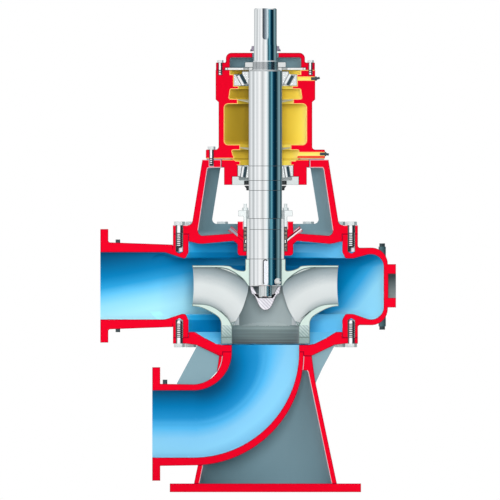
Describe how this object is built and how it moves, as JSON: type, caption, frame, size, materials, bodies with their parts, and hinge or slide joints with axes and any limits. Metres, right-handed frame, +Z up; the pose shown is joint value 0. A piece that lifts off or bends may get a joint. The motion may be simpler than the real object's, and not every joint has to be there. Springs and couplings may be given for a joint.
{
  "type": "sectioned vertical solids handling pump",
  "caption": "Vertical end-suction solids handling pump cut in half along its shaft, with suction elbow, pedestal, volute casing, closed impeller and packed stuffing box.",
  "frame": {"origin": "on the shaft axis at the underside of the base plate", "axes": "+Z up along the shaft, +Y from the cut face into the kept half, -X to the flanges"},
  "size_m": [0.8935, 0.423, 1.4625],
  "materials": {
    "painted_iron": "smooth paint on cast iron, red on the cut faces",
    "impeller_iron": "pale ground casting",
    "shaft_steel": "ground and polished",
    "sleeve_steel": "ground",
    "bearing_steel": "ground",
    "bolt_steel": "bright bolt steel",
    "fitting_steel": "dark oiled steel",
    "brass_ring": "machined",
    "packing": "braided and graphited",
    "cast_gland": "machined casting",
    "seal_rubber": "matt black rubber"
  },
  "bodies": {
    "pump_frame": {"base_plate": "painted_iron", "pedestal": "painted_iron", "suction_elbow": "painted_iron", "suction_cover": "painted_iron", "nozzle_rib": "painted_iron", "pedestal_rib": "painted_iron", "volute_casing": "painted_iron", "bracket": "painted_iron", "packing_rings": "packing", "lantern_ring": "brass_ring", "packing_gland": "cast_gland", "gland_studs": "bolt_steel", "bearing_housing": "painted_iron", "bearing_cap": "painted_iron", "cap_seal_ring": "seal_rubber", "bearing_shield": "shaft_steel", "bearing_cartridge": "painted_iron", "housing_shim": "shaft_steel", "housing_o_ring": "seal_rubber", "seal_plate": "cast_gland", "lip_seal": "seal_rubber", "upper_outer_ring": "bearing_steel", "lower_outer_ring": "bearing_steel", "casing_top_bolts": "bolt_steel", "casing_bottom_bolts": "bolt_steel", "housing_bolts": "bolt_steel", "cap_bolts": "bolt_steel", "upper_grease_fitting": "fitting_steel", "lower_grease_fitting": "fitting_steel", "nozzle_plugs": "fitting_steel", "vent_drain_plugs": "fitting_steel", "suction_plug": "fitting_steel"},
    "rotor": {"shaft": "shaft_steel", "impeller_key": "shaft_steel", "impeller_pin": "bearing_steel", "impeller_screw": "shaft_steel", "nose_cone": "impeller_iron", "shaft_sleeve": "sleeve_steel", "spacer_collar": "shaft_steel", "bearing_locknut": "shaft_steel", "top_v_ring": "seal_rubber", "lower_v_ring": "seal_rubber", "impeller": "impeller_iron", "wear_ring": "sleeve_steel", "upper_inner_ring": "bearing_steel", "lower_inner_ring": "bearing_steel"},
    "upper_roller_set": {"upper_rollers": "bearing_steel"},
    "lower_roller_set": {"lower_rollers": "bearing_steel"}
  },
  "joints": [
    {"name": "shaft_spin", "type": "hinge", "parent": "pump_frame", "child": "rotor", "pos_m": [0, 0, 1], "axis": [0, 0, 1], "continuous": true},
    {"name": "upper_roller_spin", "type": "hinge", "parent": "pump_frame", "child": "upper_roller_set", "pos_m": [0, 0, 1.247], "axis": [0, 0, 1], "continuous": true},
    {"name": "lower_roller_spin", "type": "hinge", "parent": "pump_frame", "child": "lower_roller_set", "pos_m": [0, 0, 0.968], "axis": [0, 0, 1], "continuous": true}
  ],
  "couplings": [
    {"joint": "upper_roller_spin", "follows": "shaft_spin", "ratio": 0.45},
    {"joint": "lower_roller_spin", "follows": "shaft_spin", "ratio": 0.44}
  ]
}
